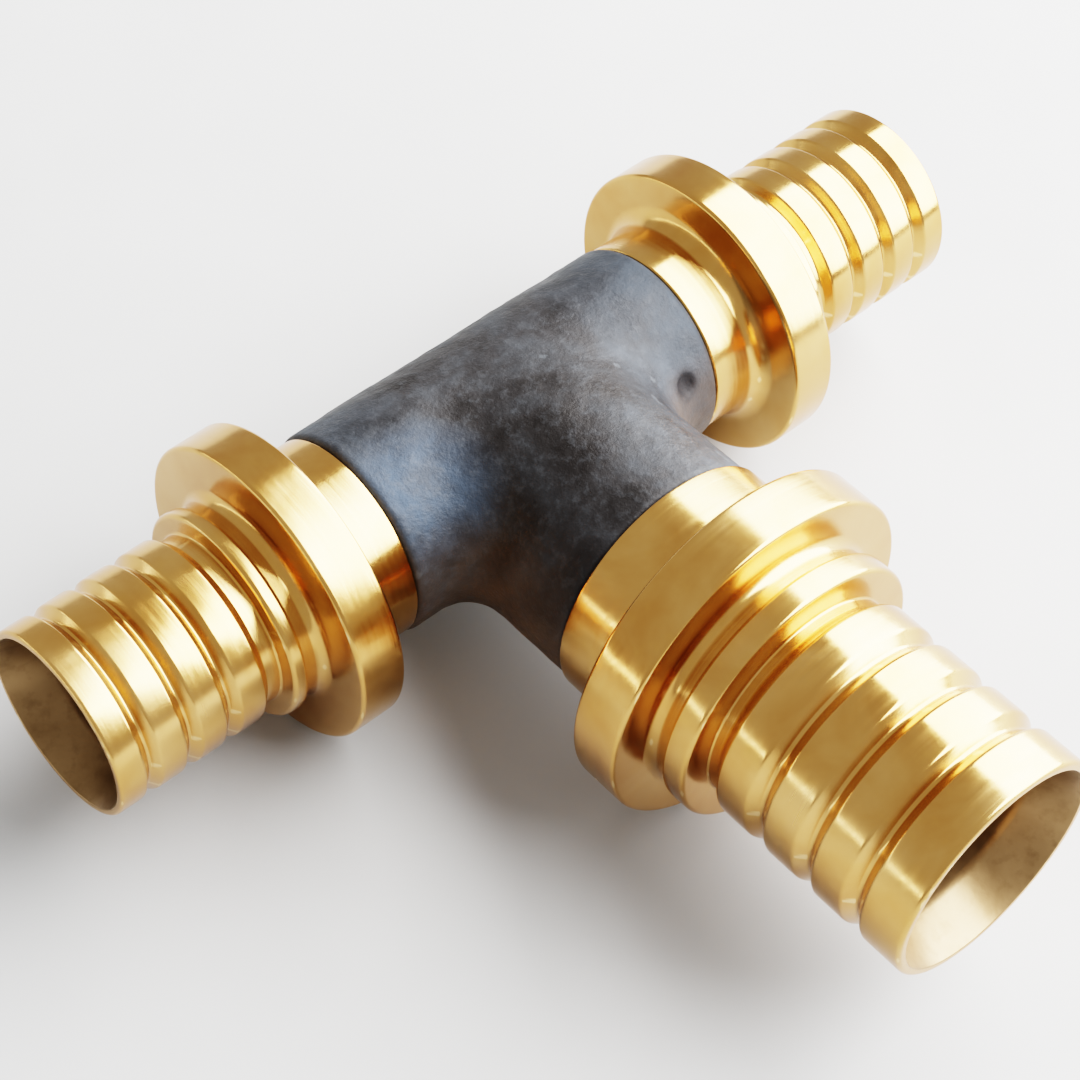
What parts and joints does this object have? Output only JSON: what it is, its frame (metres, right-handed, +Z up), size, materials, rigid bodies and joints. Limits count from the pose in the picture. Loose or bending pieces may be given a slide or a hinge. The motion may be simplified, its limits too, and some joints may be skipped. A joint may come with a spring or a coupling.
{
  "type": "reducing tee fitting",
  "caption": "Reducing pipe tee with ribbed brass spigots, pipe-stop beads and tool collars on a rough grey body, for sliding-sleeve plastic pipe joints.",
  "frame": {"origin": "where the run axis and the branch axis cross", "axes": "+X along the run towards the right spigot, -Y along the branch towards its open end, +Z up"},
  "size_m": [0.114, 0.0874, 0.0388],
  "materials": {
    "body_skin": "rough dark grey casting or forging skin, mottled, blasted",
    "turned_brass": "bright turned brass",
    "seal_rubber": "black EPDM"
  },
  "bodies": {
    "root": {"tee_body": "body_skin", "run_spigot_left": "turned_brass", "run_spigot_right": "turned_brass", "branch_spigot": "turned_brass", "run_seal_left": "seal_rubber", "run_seal_right": "seal_rubber", "branch_seal": "seal_rubber"}
  },
  "joints": []
}
